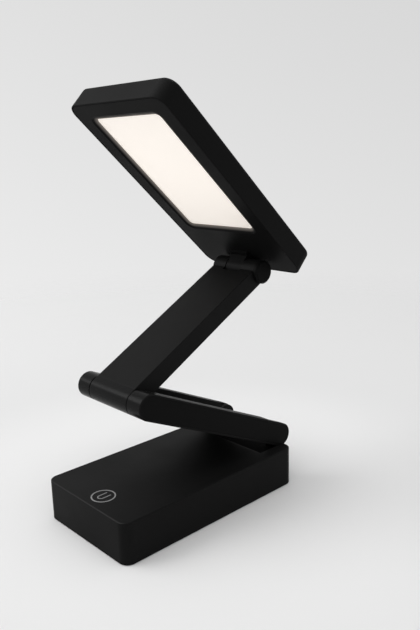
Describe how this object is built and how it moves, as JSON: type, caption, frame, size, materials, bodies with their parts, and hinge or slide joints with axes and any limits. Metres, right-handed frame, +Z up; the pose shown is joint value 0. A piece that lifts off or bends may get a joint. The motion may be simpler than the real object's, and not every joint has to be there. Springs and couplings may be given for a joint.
{
  "type": "folding led table lamp",
  "caption": "Folding LED table lamp: battery base with a touch control, a channel arm, a second arm that nests in it and a flat light head on friction hinges.",
  "frame": {"origin": "on the table under the middle of the lamp's outline as it stands", "axes": "+Z up, +X to the right, -Y to the front where the touch sign is"},
  "size_m": [0.083, 0.1529, 0.2529],
  "materials": {
    "body_plastic": "moulded black plastic with a fine matt grain",
    "steel": "zinc plated",
    "rubber": "soft matt rubber",
    "cell_wrap": null,
    "contact_metal": "nickel plated strip",
    "circuit_board": "solder mask",
    "chip_plastic": "moulded epoxy",
    "copper": "copper film",
    "conductive_foam": "conductive foam",
    "socket_plastic": "moulded plastic",
    "nylon": "black nylon",
    "diffuser_plastic": "opal sheet, lit",
    "reflector_plastic": "white moulding",
    "led_board_white": "white solder mask",
    "led_phosphor": "phosphor under clear resin"
  },
  "bodies": {
    "base": {"base_housing": "body_plastic", "base_plate": "body_plastic", "base_screws": "steel", "rubber_feet": "rubber", "battery_contacts": "contact_metal", "spring_left": "contact_metal", "spring_right": "contact_metal", "control_board": "circuit_board", "control_chips": "chip_plastic", "board_screws": "steel", "touch_electrode": "copper", "touch_post": "conductive_foam", "charge_board": "circuit_board", "charge_socket": "socket_plastic", "rear_hinge_pins": "steel", "rear_hinge_washers": "nylon"},
    "battery_door": {"battery_door": "body_plastic"},
    "cell_left": {"cell_left": "cell_wrap"},
    "cell_right": {"cell_right": "cell_wrap"},
    "lower_arm": {"lower_arm_channel": "body_plastic", "lower_arm_cover_left": "body_plastic", "lower_arm_cover_right": "body_plastic", "middle_hinge_bolt": "steel", "middle_hinge_nut": "steel", "middle_hinge_washers": "nylon"},
    "upper_arm": {"upper_arm_shell": "body_plastic", "upper_arm_back_cover": "body_plastic", "upper_arm_screws": "steel", "top_hinge_bolt": "steel", "top_hinge_nut": "steel", "top_hinge_washers": "nylon", "top_hinge_end_cap": "body_plastic"},
    "head": {"head_shell": "body_plastic", "head_bezel": "body_plastic", "diffuser": "diffuser_plastic", "reflector_frame": "reflector_plastic", "led_board": "led_board_white", "led_chips": "led_phosphor", "head_lug": "body_plastic", "head_lug_screws": "steel"}
  },
  "joints": [
    {"name": "base_hinge", "type": "hinge", "parent": "base", "child": "lower_arm", "pos_m": [0, 0.0609, 0.0312], "axis": [-1, 0, 0], "range_deg": [-18.7, 65.3]},
    {"name": "middle_hinge", "type": "hinge", "parent": "lower_arm", "child": "upper_arm", "pos_m": [0, -0.04803, 0.0813], "axis": [1, 0, 0], "range_deg": [-53.7, 96.3]},
    {"name": "head_hinge", "type": "hinge", "parent": "upper_arm", "child": "head", "pos_m": [0, 0.05439, 0.14116], "axis": [-1, 0, 0], "range_deg": [-72, 78]},
    {"name": "door_slide", "type": "slide", "parent": "base", "child": "battery_door", "axis": [0, -1, 0], "range_m": [0, 0.006]},
    {"name": "cell_left_slide", "type": "slide", "parent": "base", "child": "cell_left", "axis": [0, 1, 0], "range_m": [0, 0.003], "stiffness_N_per_m": 600, "springref_m": -0.001, "deforming": ["spring_left"]},
    {"name": "cell_right_slide", "type": "slide", "parent": "base", "child": "cell_right", "axis": [0, 1, 0], "range_m": [0, 0.003], "stiffness_N_per_m": 600, "springref_m": -0.001, "deforming": ["spring_right"]}
  ]
}
